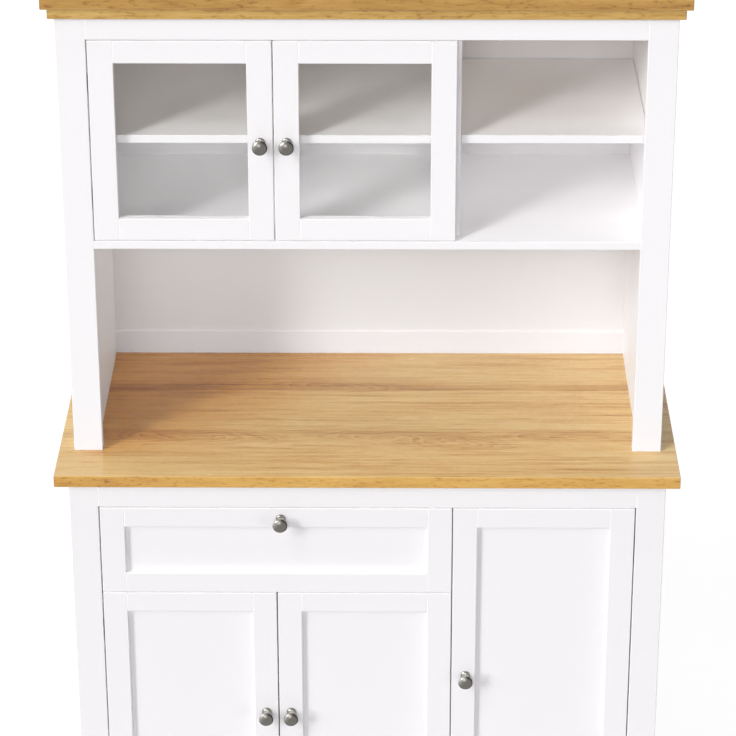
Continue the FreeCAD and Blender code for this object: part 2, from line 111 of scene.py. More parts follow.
def colourRamp(tree, share, stops):
    node = put(tree, "ShaderNodeValToRGB", {0: share})
    elements = node.color_ramp.elements
    while len(elements) < len(stops):
        elements.new(1.0)
    for element, (position, colour) in zip(elements, stops):
        element.position = position
        element.color = (*colour, 1.0)
    return node.outputs[0]


def split(tree, place):
    return put(tree, "ShaderNodeSeparateXYZ", {0: place}).outputs


def newGroup(name, kind, inputs, outputs):
    tree = bpy.data.node_groups.new(name, kind)
    for label, socketKind in inputs:
        tree.interface.new_socket(name=label, in_out="INPUT", socket_type=socketKind)
    for label, socketKind in outputs:
        tree.interface.new_socket(name=label, in_out="OUTPUT", socket_type=socketKind)
    return tree, tree.nodes.new("NodeGroupInput").outputs, tree.nodes.new("NodeGroupOutput").inputs


def newMaterial(name):
    material = bpy.data.materials.new(name)
    material.use_nodes = True
    tree = material.node_tree
    tree.nodes.clear()
    shader = put(tree, "ShaderNodeBsdfPrincipled")
    put(tree, "ShaderNodeOutputMaterial", {"Surface": shader.outputs[0]})
    return material, tree, put(tree, "ShaderNodeTexCoord").outputs, shader


def bump(tree, shader, height, depth):
    node = put(tree, "ShaderNodeBump", {"Height": height, "Distance": depth, "Strength": 1.0})
    tree.links.new(node.outputs[0], shader.inputs["Normal"])


# Shared surface effects

number = "NodeSocketFloat"
vector = "NodeSocketVector"
boardMottle = dict(slow=3.1, slowDetail=3.0, quick=27.0, quickDetail=2.0, quickShare=0.35,
                   low=0.32, high=0.68)


def softMottleGroup():  # slow unevenness of a sprayed or foiled board, 0 to 1
    outputs = [("Mottle", number)]
    tree, given, result = newGroup("softMottle", "ShaderNodeTree", [("Place", vector)], outputs)
    slow = noise(tree, given["Place"], (boardMottle["slow"],) * 3, boardMottle["slowDetail"])
    quick = noise(tree, given["Place"], (boardMottle["quick"],) * 3, boardMottle["quickDetail"])
    slowPart = calc(tree, "MULTIPLY", slow, 1.0 - boardMottle["quickShare"])
    both = calc(tree, "MULTIPLY_ADD", quick, boardMottle["quickShare"], slowPart)
    tree.links.new(remap(tree, both, boardMottle["low"], boardMottle["high"]), result["Mottle"])
    return tree


sprayPeel = dict(grain=420.0, detail=1.5, roughness=0.45, low=0.25, high=0.75)


def finishRippleGroup():  # fine peel of a sprayed coat, 0 to 1
    outputs = [("Height", number)]
    tree, given, result = newGroup("finishRipple", "ShaderNodeTree", [("Place", vector)], outputs)
    peel = noise(tree, given["Place"], (sprayPeel["grain"],) * 3, sprayPeel["detail"], sprayPeel["roughness"])
    tree.links.new(remap(tree, peel, sprayPeel["low"], sprayPeel["high"]), result["Height"])
    return tree


oakBend = dict(along=2.3, across=4.0, detail=1.0, reach=0.009)  # how the fibres wander
oakLayers = dict(  # how dense each layer is along and across the fibres, and the part of its noise that shows
    broad=dict(along=1.2, across=26.0, detail=2.0, roughness=0.5, low=0.32, high=0.68),
    lines=dict(along=5.0, across=165.0, detail=3.0, roughness=0.6, low=0.46, high=0.72),
    fibres=dict(along=11.0, across=420.0, detail=2.0, roughness=0.6, low=0.34, high=0.66),
    dashes=dict(along=30.0, across=210.0, detail=1.5, roughness=0.5, low=0.56, high=0.72))
oakToneShares = dict(broad=0.25, lines=0.34, fibres=0.24, dashes=0.18)
oakPoreShares = dict(fibres=-0.3, dashes=-0.7)


def oakGrainGroup():  # fibres along X, across Y; tone 0 pale to 1 dark
    outputs = [("Tone", number), ("Dashes", number), ("Height", number)]
    tree, given, result = newGroup("oakGrain", "ShaderNodeTree", [("Place", vector)], outputs)
    place = given["Place"]
    wander = noise(tree, place, (oakBend["along"], oakBend["across"], oakBend["across"]), oakBend["detail"])
    drift = remap(tree, wander, 0.0, 1.0, -oakBend["reach"], oakBend["reach"])
    shift = put(tree, "ShaderNodeCombineXYZ", {"Y": drift}).outputs[0]
    bent = put(tree, "ShaderNodeVectorMath", {0: place, 1: shift}, operation="ADD").outputs[0]
    layers = {}
    for name, look in oakLayers.items():
        density = (look["along"], look["across"], look["across"])
        grain = noise(tree, bent, density, look["detail"], look["roughness"])
        layers[name] = remap(tree, grain, look["low"], look["high"])
    tone = height = 0.0
    for name, share in oakToneShares.items():
        tone = calc(tree, "MULTIPLY_ADD", layers[name], share, tone)
    for name, share in oakPoreShares.items():
        height = calc(tree, "MULTIPLY_ADD", layers[name], share, height)
    for label, value in (("Tone", tone), ("Dashes", layers["dashes"]), ("Height", height)):
        tree.links.new(value, result[label])
    return tree


streakLook = dict(crispFrom=-0.07, crispTo=0.03, fadePower=1.6, along=3.4, across=30.0, low=0.3, high=0.65,
                  faint=0.25, full=1.1)


def oakStreakGroup():  # a late-wood band: dark at a crisp edge, fading away from it, coming and going along X
    inputs = [("Place", vector), ("Edge", number), ("Fade", number), ("Strength", number)]
    tree, given, result = newGroup("oakStreak", "ShaderNodeTree", inputs, [("Tone", number)])
    y = split(tree, given["Place"])[1]
    away = calc(tree, "DIVIDE", calc(tree, "SUBTRACT", y, given["Edge"]), given["Fade"])
    crisp = remap(tree, away, streakLook["crispFrom"], streakLook["crispTo"])
    near = calc(tree, "SUBTRACT", 1.0, away, clamp=True)
    faded = calc(tree, "POWER", near, streakLook["fadePower"])
    density = (streakLook["along"], streakLook["across"], streakLook["across"])
    comes = remap(tree, noise(tree, given["Place"], density, 1.0), streakLook["low"], streakLook["high"],
                  streakLook["faint"], streakLook["full"])
    band = calc(tree, "MULTIPLY", calc(tree, "MULTIPLY", crisp, faded), comes)
    tree.links.new(calc(tree, "MULTIPLY", band, given["Strength"]), result["Tone"])
    return tree


flameLook = dict(along=18.0, across=46.0, raggedness=0.2, lean=0.3, ringPower=2.2, fadeFrom=1.0, fadeTo=0.5)


def oakFlameGroup():  # nested growth rings where the saw met them nearly flat
    inputs = [("Place", vector), ("Along", number), ("Across", number), ("Length", number),
              ("Width", number), ("Rings", number), ("Strength", number)]
    tree, given, result = newGroup("oakFlame", "ShaderNodeTree", inputs, [("Tone", number)])
    x, y = split(tree, given["Place"])[:2]
    along = calc(tree, "DIVIDE", calc(tree, "SUBTRACT", x, given["Along"]), given["Length"])
    across = calc(tree, "DIVIDE", calc(tree, "SUBTRACT", y, given["Across"]), given["Width"])
    density = (flameLook["along"], flameLook["across"], flameLook["across"])
    ragged = remap(tree, noise(tree, given["Place"], density), 0.0, 1.0,
                   -flameLook["raggedness"], flameLook["raggedness"])
    lean = calc(tree, "MULTIPLY_ADD", along, flameLook["lean"], across)
    away = calc(tree, "SQRT", calc(tree, "MULTIPLY_ADD", lean, lean, calc(tree, "MULTIPLY", along, along)))
    away = calc(tree, "ADD", away, ragged)
    wave = calc(tree, "FRACT", calc(tree, "MULTIPLY", away, given["Rings"]))
    ring = calc(tree, "POWER", wave, flameLook["ringPower"])
    fade = remap(tree, away, flameLook["fadeFrom"], flameLook["fadeTo"], curve="SMOOTHSTEP")
    band = calc(tree, "MULTIPLY", ring, fade)
    tree.links.new(calc(tree, "MULTIPLY", band, given["Strength"]), result["Tone"])
    return tree


handlingMarks = (dict(density=(260.0, 2600.0, 420.0), low=0.5, high=0.72),
                 dict(density=(2200.0, 300.0, 380.0), low=0.55, high=0.75))
markRoughness = 0.55


def fineScratchGroup():  # fine handling marks on bright metal, 0 to 1
    outputs = [("Marks", number)]
    tree, given, result = newGroup("fineScratch", "ShaderNodeTree", [("Place", vector)], outputs)
    layers = []
    for look in handlingMarks:
        marks = noise(tree, given["Place"], look["density"], roughness=markRoughness)
        layers.append(remap(tree, marks, look["low"], look["high"]))
    tree.links.new(calc(tree, "MAXIMUM", *layers), result["Marks"])
    return tree


softMottle = softMottleGroup()
finishRipple = finishRippleGroup()
oakGrain = oakGrainGroup()
oakStreak = oakStreakGroup()
oakFlame = oakFlameGroup()
fineScratch = fineScratchGroup()


def useGroup(tree, group, **inputs):
    values = {name.capitalize(): value for name, value in inputs.items()}
    return put(tree, "ShaderNodeGroup", values, node_tree=group).outputs


print("shared effects:", len(bpy.data.node_groups))


# Finishes

# The front and lower front tones are painted shade, chosen by which way a face looks and how high it is. Fronts
# are held deeper where the lamps hit them squarely, and the base fronts deeper still for light falling off towards
# the floor. The pale tone on edges and inner faces lifts the shaded gaps and bays.
whitePaint = dict(
    pale=(0.966, 0.955, 0.958), dull=(0.954, 0.943, 0.946), smooth=0.38, rough=0.48, peel=0.00003,
    front=(0.754, 0.738, 0.753), shadedLowerFront=(0.724, 0.708, 0.725), lowerShadeHeights=(0.752, 0.785), facing=(0.6, 0.8))
backFoil = dict(
    pale=(0.736, 0.723, 0.73), dull=(0.724, 0.711, 0.718), smooth=0.42, rough=0.52, peel=0.00002)


def boardFinish(name, values):
    material, tree, place, shader = newMaterial(name)
    mottle = useGroup(tree, softMottle, place=place["Object"])["Mottle"]
    peel = useGroup(tree, finishRipple, place=place["Object"])["Height"]
    pale, dull = (*values["pale"], 1.0), (*values["dull"], 1.0)
    colour = mixColour(tree, mottle, pale, dull)
    if "front" in values:  # painted shade: fronts deeper than edges and inner faces, deepest on the base
        facing = calc(tree, "ABSOLUTE", split(tree, place["Normal"])[1])
        rise = remap(tree, split(tree, place["Object"])[2], *values["lowerShadeHeights"])
        front = mixColour(tree, rise, (*values["shadedLowerFront"], 1.0), (*values["front"], 1.0))
        colour = mixColour(tree, remap(tree, facing, *values["facing"]), colour, front)
    feed(tree, shader.inputs["Base Color"], colour)
    feed(tree, shader.inputs["Roughness"], remap(tree, mottle, 0.0, 1.0, values["smooth"], values["rough"]))
    bump(tree, shader, peel, values["peel"])
    return material


# Each streak: edge, fade (which way and how far), strength.
# Each flame: along, across, length, width, rings, strength.
worktopOak = dict(
    face=((0.0, (0.81, 0.59, 0.28)), (0.35, (0.715, 0.466, 0.178)), (0.65, (0.56, 0.305, 0.093)),
          (1.0, (0.335, 0.145, 0.041))),
    edge=((0.0, (0.592, 0.357, 0.0931)), (0.4, (0.513, 0.28, 0.06)), (0.75, (0.383, 0.177, 0.0322)),
          (1.0, (0.217, 0.0853, 0.0174))),
    streaks=((0.086, 0.042, 0.42), (0.04, -0.03, 0.2), (-0.002, -0.014, 0.2), (0.205, 0.02, 0.14),
             (-0.069, -0.042, 0.2), (-0.15, -0.012, 0.09), (-0.167, -0.01, 0.08), (-0.178, -0.01, 0.09),
             (-0.22, -0.012, 0.09)),
    flames=((-0.285, -0.09, 0.19, 0.04, 7.0, 0.38), (0.03, -0.093, 0.16, 0.036, 6.0, 0.3),
            (0.14, -0.112, 0.12, 0.034, 5.0, 0.3), (0.36, -0.088, 0.18, 0.03, 5.0, 0.26),
            (-0.05, 0.1, 0.14, 0.034, 5.0, 0.22), (0.22, 0.205, 0.16, 0.022, 5.0, 0.18)),
    # painted shadow of the left post on the worktop: where it lies, how dark and how red
    paintedPostShadow=dict(way=(-0.75, 0.66), start=0.05, end=0.3, front=(-0.17, -0.13), side=(-0.47, -0.435),
               depth=0.16, tint=(0.97, 0.75, 0.51)),
    lying=True, bleed=0.75, faceBase=0.02, edgeBase=0.0, smooth=0.2, rough=0.4, poreDepth=0.00006)
lowerCorniceOak = dict(
    face=((0.0, (0.78, 0.61, 0.4)), (0.5, (0.67, 0.49, 0.29)), (1.0, (0.46, 0.3, 0.15))),
    edge=((0.0, (0.55, 0.355, 0.107)), (0.4, (0.458, 0.274, 0.071)), (0.75, (0.345, 0.179, 0.039)),
          (1.0, (0.222, 0.099, 0.023))),
    streaks=((1.563, -0.004, 0.16),), flames=((-0.1, 1.57, 0.3, 0.007, 4.0, 0.25),),
    lying=False, bleed=0.5, faceBase=0.1, edgeBase=0.0, smooth=0.3, rough=0.46, poreDepth=0.00006)
upperCorniceOak = dict(
    face=((0.0, (0.66, 0.41, 0.14)), (0.5, (0.52, 0.295, 0.085)), (1.0, (0.31, 0.14, 0.04))),
    edge=((0.0, (0.466, 0.266, 0.0703)), (0.4, (0.376, 0.201, 0.0442)), (0.75, (0.278, 0.129, 0.0254)),
          (1.0, (0.164, 0.0654, 0.0155))),
    streaks=((1.578, 0.006, 0.22),), flames=((0.24, 1.583, 0.2, 0.006, 4.0, 0.25),),
    lying=False, bleed=0.5, faceBase=0.1, edgeBase=0.02, smooth=0.3, rough=0.46, poreDepth=0.00006)
oakEdge = dict(shorter=3.0, low=0.55, high=0.85, dashes=0.22)  # edging strips have shorter, denser grain
oakWander = dict(along=4.0, across=14.0, reach=0.005)


def oakFinish(name, values):
    material, tree, place, shader = newMaterial(name)
    x, y, z = split(tree, place["Object"])
    upright = calc(tree, "ABSOLUTE", split(tree, place["Normal"])[2])
    edge = remap(tree, upright, oakEdge["low"], oakEdge["high"], 1.0, 0.0)
    shorter = calc(tree, "MULTIPLY", x, oakEdge["shorter"])
    edgePlace = put(tree, "ShaderNodeCombineXYZ", {0: shorter, 1: z, 2: y})
    wide = useGroup(tree, oakGrain, place=place["Object"])
    strip = useGroup(tree, oakGrain, place=edgePlace.outputs[0])
    across = y if values["lying"] else z  # the side that carries the figure
    factors = (oakWander["along"], oakWander["across"], oakWander["across"])
    reach = oakWander["reach"] if values["lying"] else 0.0
    wander = remap(tree, noise(tree, place["Object"], factors, 2.0), 0.0, 1.0, -reach, reach)
    figurePlace = put(tree, "ShaderNodeCombineXYZ", {0: x, 1: calc(tree, "ADD", across, wander)}).outputs[0]
    marks = values["faceBase"] if values["lying"] else values["edgeBase"]
    for edgeAt, fade, strength in values["streaks"]:
        streak = useGroup(tree, oakStreak, place=figurePlace, edge=edgeAt, fade=fade, strength=strength)
        marks = calc(tree, "ADD", streak["Tone"], marks)
    for along, at, length, width, rings, strength in values["flames"]:
        flame = useGroup(tree, oakFlame, place=figurePlace, along=along, across=at, length=length,
                         width=width, rings=rings, strength=strength)
        marks = calc(tree, "ADD", flame["Tone"], marks)
    if "paintedPostShadow" in values:  # painted shadow: the left post's shadow on the worktop, darker and redder towards the back left and stopping at the post
        paintedPostShadow = values["paintedPostShadow"]
        towards = calc(tree, "MULTIPLY_ADD", x, paintedPostShadow["way"][0], calc(tree, "MULTIPLY", y, paintedPostShadow["way"][1]))
        reach = remap(tree, towards, paintedPostShadow["start"], paintedPostShadow["end"], 0.0, 1.0, "SMOOTHSTEP")
        reach = calc(tree, "MULTIPLY", reach, remap(tree, y, *paintedPostShadow["front"]))
        reach = calc(tree, "MULTIPLY", reach, remap(tree, x, *paintedPostShadow["side"]))
        marks = calc(tree, "MULTIPLY_ADD", reach, paintedPostShadow["depth"], marks)
    faceTone = calc(tree, "ADD", wide["Tone"], marks if values["lying"] else values["faceBase"])
    edgeTone = calc(tree, "MULTIPLY_ADD", strip["Dashes"], oakEdge["dashes"], strip["Tone"])
    edgeTone = calc(tree, "ADD", edgeTone, values["edgeBase"] if values["lying"] else marks)
    faceColour = colourRamp(tree, faceTone, values["face"])
    # the painted shadow's redder tint
    if "paintedPostShadow" in values:
        tinted = {0: reach, 6: faceColour, 7: (*values["paintedPostShadow"]["tint"], 1.0)}
        faceColour = put(tree, "ShaderNodeMix", tinted, data_type="RGBA", blend_type="MULTIPLY").outputs[2]
    edgeColour = colourRamp(tree, edgeTone, values["edge"])
    colour = mixColour(tree, edge, faceColour, edgeColour)
    # Light bounced off the oak loses part of its colour, so that the white boards stay white
    bounced = put(tree, "ShaderNodeLightPath").outputs["Is Diffuse Ray"]
    grey = put(tree, "ShaderNodeRGBToBW", {0: colour}).outputs[0]
    colour = mixColour(tree, calc(tree, "MULTIPLY", bounced, values["bleed"]), colour, grey)
    feed(tree, shader.inputs["Base Color"], colour)
    feed(tree, shader.inputs["Roughness"],
         remap(tree, wide["Dashes"], 0.0, 1.0, values["smooth"], values["rough"]))
    bump(tree, shader, wide["Height"], values["poreDepth"])
    return material


clearGlass = dict(tint=(0.988, 0.99, 0.987, 1.0), ior=1.46, smear=0.012, smearFrom=0.4)


def glassFinish():
    material, tree, place, shader = newMaterial("clearGlass")
    shader.inputs["Base Color"].default_value = clearGlass["tint"]
    shader.inputs["Transmission Weight"].default_value = 1.0
    shader.inputs["IOR"].default_value = clearGlass["ior"]
    mottle = useGroup(tree, softMottle, place=place["Object"])["Mottle"]
    smears = remap(tree, mottle, clearGlass["smearFrom"], 1.0, 0.0, clearGlass["smear"])
    feed(tree, shader.inputs["Roughness"], smears)
    path = put(tree, "ShaderNodeLightPath").outputs
    clear = put(tree, "ShaderNodeBsdfTransparent", {"Color": clearGlass["tint"]}).outputs[0]
    passing = calc(tree, "MAXIMUM", path["Is Shadow Ray"], path["Is Diffuse Ray"])
    mixed = put(tree, "ShaderNodeMixShader", {0: passing, 1: shader.outputs[0], 2: clear})
    output = next(node for node in tree.nodes if node.type == "OUTPUT_MATERIAL")
    tree.links.new(mixed.outputs[0], output.inputs["Surface"])
    return material


brushedNickel = dict(bright=(0.68, 0.66, 0.62), dark=(0.52, 0.5, 0.46), darkTarnishShade=(0.042, 0.036, 0.03),
                     smooth=0.16, rough=0.28, rings=3600.0, ringLow=0.3, ringHigh=0.7, ringDepth=0.00001,
                     markShare=0.35)


def nickelFinish():
    material, tree, place, shader = newMaterial("brushedNickel")
    shader.inputs["Metallic"].default_value = 1.0
    turned = put(tree, "ShaderNodeAttribute", attribute_name="turned").outputs["Fac"]
    tarnishAndShade = put(tree, "ShaderNodeAttribute", attribute_name="tarnishAndShade").outputs["Fac"]
    ringPlace = calc(tree, "MULTIPLY", turned, brushedNickel["rings"])
    rings = put(tree, "ShaderNodeTexNoise", {"W": ringPlace, "Scale": 1.0, "Detail": 2.0},
                noise_dimensions="1D").outputs[0]
    rings = remap(tree, rings, brushedNickel["ringLow"], brushedNickel["ringHigh"])
    marks = useGroup(tree, fineScratch, place=place["Object"])["Marks"]
    ringPart = calc(tree, "MULTIPLY", rings, 1.0 - brushedNickel["markShare"])
    worn = calc(tree, "MULTIPLY_ADD", marks, brushedNickel["markShare"], ringPart, clamp=True)
    metal = mixColour(tree, worn, (*brushedNickel["bright"], 1.0), (*brushedNickel["dark"], 1.0))
    # tarnish and painted shade: dome and rim darkened as painted dark reflection, neck left bright
    colour = mixColour(tree, tarnishAndShade, metal, (*brushedNickel["darkTarnishShade"], 1.0))
    feed(tree, shader.inputs["Base Color"], colour)
    feed(tree, shader.inputs["Roughness"],
         remap(tree, worn, 0.0, 1.0, brushedNickel["smooth"], brushedNickel["rough"]))
    bump(tree, shader, rings, brushedNickel["ringDepth"])
    return material


zincPlate = dict(bright=(0.68, 0.69, 0.71), dull=(0.5, 0.5, 0.5), smooth=0.24, rough=0.45, depth=0.00001,
                 markShare=0.6)


def zincFinish():
    material, tree, place, shader = newMaterial("zincPlate")
    shader.inputs["Metallic"].default_value = 1.0
    marks = useGroup(tree, fineScratch, place=place["Object"])["Marks"]
    mottle = useGroup(tree, softMottle, place=place["Object"])["Mottle"]
    mottlePart = calc(tree, "MULTIPLY", mottle, 1.0 - zincPlate["markShare"])
    worn = calc(tree, "MULTIPLY_ADD", marks, zincPlate["markShare"], mottlePart, clamp=True)
    feed(tree, shader.inputs["Base Color"],
         mixColour(tree, worn, (*zincPlate["bright"], 1.0), (*zincPlate["dull"], 1.0)))
    feed(tree, shader.inputs["Roughness"],
         remap(tree, worn, 0.0, 1.0, zincPlate["smooth"], zincPlate["rough"]))
    bump(tree, shader, marks, zincPlate["depth"])
    return material


finishes = {
    "white_paint": boardFinish("whitePaint", whitePaint),
    "back_board": boardFinish("backFoil", backFoil),
    "oak_board": oakFinish("worktopOak", worktopOak),
    "clear_glass": glassFinish(),
    "brushed_nickel": nickelFinish(),
    "plated_steel": zincFinish(),
}
ownFinishes = {
    "cornice_lower": oakFinish("lowerCorniceOak", lowerCorniceOak),
    "cornice_upper": oakFinish("upperCorniceOak", upperCorniceOak),
}
for subpart in frame["record"]["subparts"]:
    node = subpart["node"]
    finish = ownFinishes.get(node, finishes[subpart["material_slot"]])
    cadNodes[node].data.materials.clear()
    cadNodes[node].data.materials.append(finish)
print("finishes:", len(finishes) + len(ownFinishes))


# Meshes and pieces

meshing = dict(mergeDistance=1e-7, sharpAngle=38.0)


def newObject(name, mesh):
    thing = bpy.data.objects.new(name, mesh)
    scene.collection.objects.link(thing)
    return thing


def finishMesh(name, bm, *materials):
    bmesh.ops.remove_doubles(bm, verts=bm.verts, dist=meshing["mergeDistance"])
    bmesh.ops.recalc_face_normals(bm, faces=bm.faces)
    mesh = bpy.data.meshes.new(name)
    bm.to_mesh(mesh)
    bm.free()
    for material in materials:
        mesh.materials.append(material)
    mesh.shade_smooth()
    mesh.set_sharp_from_angle(angle=math.radians(meshing["sharpAngle"]))
    return mesh


def ring(bm, radius, height, sides):
    angles = [2 * math.pi * i / sides for i in range(sides)]
    return [bm.verts.new((radius * math.cos(a), radius * math.sin(a), height)) for a in angles]


def bridge(bm, first, second):
    count = len(first)
    return [bm.faces.new((first[i], first[i - 1], second[i - 1], second[i])) for i in range(count)]


# Cross-head screw: rings of the head as shares of its radius and height
screwHead = dict(sides=24, rings=((1.0, 0.0), (1.0, 0.3), (0.9, 0.72), (0.66, 1.0)),
                 armLength=0.56, armWidth=0.14, recess=0.7)


def crossOutline(bm, radius, height):
    long, wide = radius * screwHead["armLength"], radius * screwHead["armWidth"]
    arm = [(long, 0.0), (long, wide), ((long + wide) / 2, wide), (wide, wide), (wide, (long + wide) / 2),
           (wide, long)]
    points = []
    for quarter in range(4):
        turn = Matrix.Rotation(quarter * math.pi / 2, 2)
        points += [turn @ Vector(point) for point in arm]
    return [bm.verts.new((*point, height)) for point in points]


def addScrew(bm, headRadius, headHeight, shankRadius, shankLength):  # along +Z, seated at the origin
    start = len(bm.faces)
    sides = screwHead["sides"]
    loops = [ring(bm, headRadius * r, headHeight * h, sides) for r, h in screwHead["rings"]]
    loops.append(crossOutline(bm, headRadius, headHeight))
    loops.append(crossOutline(bm, headRadius, headHeight * (1 - screwHead["recess"])))
    for first, second in zip(loops, loops[1:]):
        bridge(bm, first, second)
    recessFloor = bm.faces.new(loops[-1])
    shank = [ring(bm, shankRadius, 0.0, sides), ring(bm, shankRadius, -shankLength, sides)]
    bridge(bm, shank[0], loops[0])
    bridge(bm, shank[1], shank[0])
    bm.faces.new(shank[1])
    bmesh.ops.triangulate(bm, faces=[recessFloor])
    bm.faces.ensure_lookup_table()
    return bm.faces[start:]


# Turned knobs, in metres from the door's face outwards
knob = dict(
    length=0.03, sides=72,
    flangeRadius=0.0078, flangeThickness=0.0026, flangeRound=0.0009, flangeSteps=6,
    neckRadius=0.0037, flare=3.4, headIn=0.0208, neckSteps=16,
    rollRadius=0.0094, rollWidth=0.0026, rollHeight=0.0027, rollStart=62.0, rollEnd=-62.0, rollSteps=16,
    domeHeight=0.0026, domeSteps=12,
    backing=0.018, screwRadius=0.0042, screwHeight=0.0024, shankRadius=0.002, screwTurn=31.0)
# From 0, bright, to 1, darkest: tarnish and painted shade, the dark dome and rim standing in for dark reflections
# and the pale neck for a bright one
knobTarnishAndShade = dict(flange=0.7, neck=0.0, underside=0.75, neckPower=2, roll=1.0,
                 domeEdge=0.95, dome=0.8, domePower=6)
# Painted highlight on the rim, where the key lamps would glint, in degrees round from the right
knobPaintedGlint = dict(at=146.0, power=2.5, level=1.0, rimPower=3)


def knobProfile():  # (radius, out, shade) from the foot to the tip of the dome
    foot, lip = knob["flangeRadius"], knob["flangeRound"]
    top = knob["flangeThickness"]
    points = [(0.0, 0.0, knobTarnishAndShade["flange"]), (foot, 0.0, knobTarnishAndShade["flange"])]
    for step in range(knob["flangeSteps"] + 1):
        angle = step / knob["flangeSteps"] * math.pi / 2
        radius = foot - lip + lip * math.cos(angle)
        points.append((radius, top - lip + lip * math.sin(angle), knobTarnishAndShade["flange"]))
    for step in range(1, knob["neckSteps"] + 1):
        share = step / knob["neckSteps"]
        away = abs(2 * share - 1)  # 0 at the middle of the neck, 1 at its ends
        radius = knob["neckRadius"] + (foot - lip - knob["neckRadius"]) * away ** knob["flare"]
        end = knobTarnishAndShade["underside"] if share > 0.5 else knobTarnishAndShade["flange"]
        shade = knobTarnishAndShade["neck"] + (end - knobTarnishAndShade["neck"]) * away ** knobTarnishAndShade["neckPower"]
        points.append((radius, top + (knob["headIn"] - top) * share, shade))
    first, last = math.radians(knob["rollEnd"]), math.radians(knob["rollStart"])
    rollOut = knob["length"] - knob["domeHeight"] - knob["rollHeight"] * math.sin(last)
    for step in range(knob["rollSteps"] + 1):
        angle = first + (last - first) * step / knob["rollSteps"]
        points.append((knob["rollRadius"] + knob["rollWidth"] * math.cos(angle),
                       rollOut + knob["rollHeight"] * math.sin(angle), knobTarnishAndShade["roll"]))
    domeEdge = points[-1][0]
    for step in range(1, knob["domeSteps"] + 1):
        share = step / knob["domeSteps"]
        radius = domeEdge * math.cos(share * math.pi / 2) if step < knob["domeSteps"] else 0.0
        rim = (1 - share) ** knobTarnishAndShade["domePower"]
        shade = knobTarnishAndShade["dome"] + (knobTarnishAndShade["domeEdge"] - knobTarnishAndShade["dome"]) * rim
        points.append((radius, knob["length"] - knob["domeHeight"] * (radius / domeEdge) ** 2, shade))
    return points


def lathe(bm, profile, sides):  # spun about Z; keeps the way along the profile for the turning marks
    turned = bm.verts.layers.float.new("turned")
    tarnishAndShade = bm.verts.layers.float.new("tarnishAndShade")
    travelled, before, loops = 0.0, None, []
    widest = max(radius for radius, out, shade in profile)
    for radius, out, shade in profile:
        if before:
            travelled += math.dist(before, (radius, out))
        before = (radius, out)
        loop = [bm.verts.new((0.0, 0.0, out))] if radius == 0.0 else ring(bm, radius, out, sides)
        for i, vert in enumerate(loop):
            # painted highlight: the rim is lifted towards the upper left, where the key lamps would glint
            facing = max(0.0, math.cos(2 * math.pi * i / sides - math.radians(knobPaintedGlint["at"])))
            rim = (radius / widest) ** knobPaintedGlint["rimPower"]
            glint = knobPaintedGlint["level"] * facing ** knobPaintedGlint["power"] * rim
            vert[turned] = travelled
            vert[tarnishAndShade] = shade * (1.0 - glint)
        loops.append(loop)
    for first, second in zip(loops, loops[1:]):
        if len(first) == 1:
            for i in range(sides):
                bm.faces.new((first[0], second[i - 1], second[i]))
        elif len(second) == 1:
            for i in range(sides):
                bm.faces.new((first[i], first[i - 1], second[0]))
        else:
            bridge(bm, first, second)


def makeKnob(node, body):
    low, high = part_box(node)
    middle = (low + high) / 2
    face = Vector((middle.x, low.y + knob["length"], middle.z))
    bm = bmesh.new()
    lathe(bm, knobProfile(), knob["sides"])
    bmesh.ops.transform(bm, matrix=Matrix.Rotation(math.pi / 2, 4, "X"), verts=bm.verts)
    screw = bmesh.new()
    addScrew(screw, knob["screwRadius"], knob["screwHeight"], knob["shankRadius"], knob["backing"])
    turn = Matrix.Rotation(-math.pi / 2, 4, "X") @ Matrix.Rotation(math.radians(knob["screwTurn"]), 4, "Z")
    seated = Matrix.Translation((0.0, knob["backing"], 0.0)) @ turn
    bmesh.ops.transform(screw, matrix=seated, verts=screw.verts)
    screwMesh = bpy.data.meshes.new("knobScrew")
    for screwFace in screw.faces:
        screwFace.material_index = 1
    screw.to_mesh(screwMesh)
    screw.free()
    bm.from_mesh(screwMesh)
    bpy.data.meshes.remove(screwMesh)
    bmesh.ops.translate(bm, vec=face, verts=bm.verts)
    name = body + "_turned_knob"
    piece = newObject(name, finishMesh(name, bm, finishes["brushed_nickel"], finishes["plated_steel"]))
    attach(piece, body)
    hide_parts(node)


doors = [joint["child"] for joint in frame["joints"] if joint["type"] == "hinge"]
for body in doors + ["drawer"]:
    makeKnob(body + "_knob", body)
print("turned knobs:", len(doors) + 1)


# Geometry Nodes: screws on marked points and nails along a path

def socketIds(tree):
    return {item.name: item.identifier for item in tree.interface.items_tree if item.in_out == "INPUT"}


def realized(tree, layout, finish):  # real geometry in one finish, from copies on points
    placed = put(tree, "GeometryNodeInstanceOnPoints", layout).outputs[0]
    solid = put(tree, "GeometryNodeRealizeInstances", {0: placed}).outputs[0]
    return put(tree, "GeometryNodeSetMaterial", {"Geometry": solid, "Material": finish}).outputs[0]


